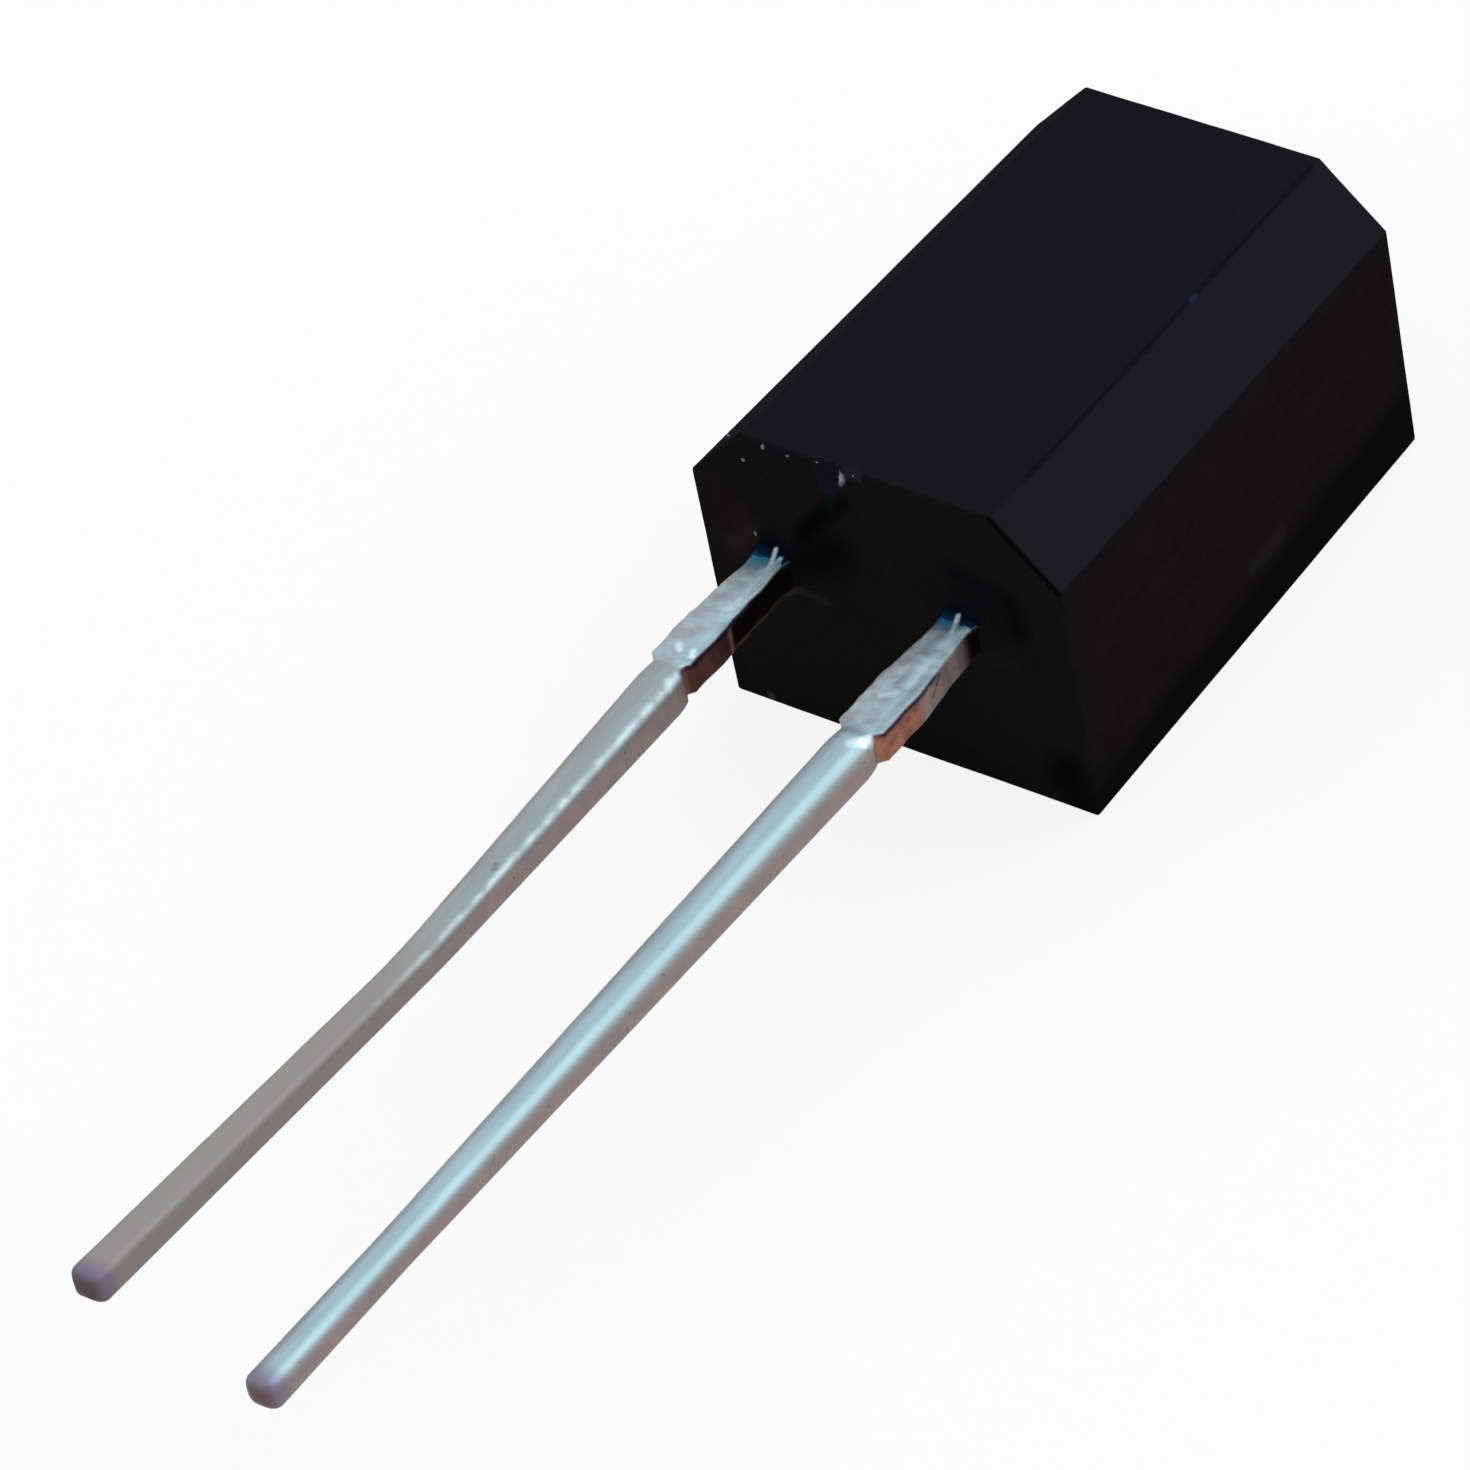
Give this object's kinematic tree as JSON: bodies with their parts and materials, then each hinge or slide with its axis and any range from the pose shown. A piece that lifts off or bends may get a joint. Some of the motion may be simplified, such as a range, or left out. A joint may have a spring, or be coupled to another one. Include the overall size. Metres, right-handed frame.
{
  "type": "side-looking photodiode",
  "caption": "Side-looking photodiode: a light-sensing chip in a black, chamfered, daylight-blocking epoxy block with a pair of tinned leads.",
  "frame": {"origin": "middle of the flat back face that the body lies on, halfway along the body", "axes": "+Z from the back face towards the chamfered, light-sensitive front face; +Y along the body, away from the leads; +X across the body, so that the anode lead is at +X"},
  "size_m": [0.005, 0.0202, 0.0042],
  "materials": {
    "black_epoxy": "satin moulded epoxy, dyed black, clear only to infrared",
    "tinned_copper": "hot-dip tinned copper alloy, bare where the tie bar was sheared",
    "silicon": "polished silicon with a dark anti-reflection layer and a metal ring",
    "silver_adhesive": "cured silver-filled adhesive",
    "gold_wire": "bright drawn gold"
  },
  "bodies": {
    "root": {"package_body": "black_epoxy", "cathode_lead": "tinned_copper", "anode_lead": "tinned_copper", "photodiode_die": "silicon", "die_attach": "silver_adhesive", "bond_wire": "gold_wire"}
  },
  "joints": []
}
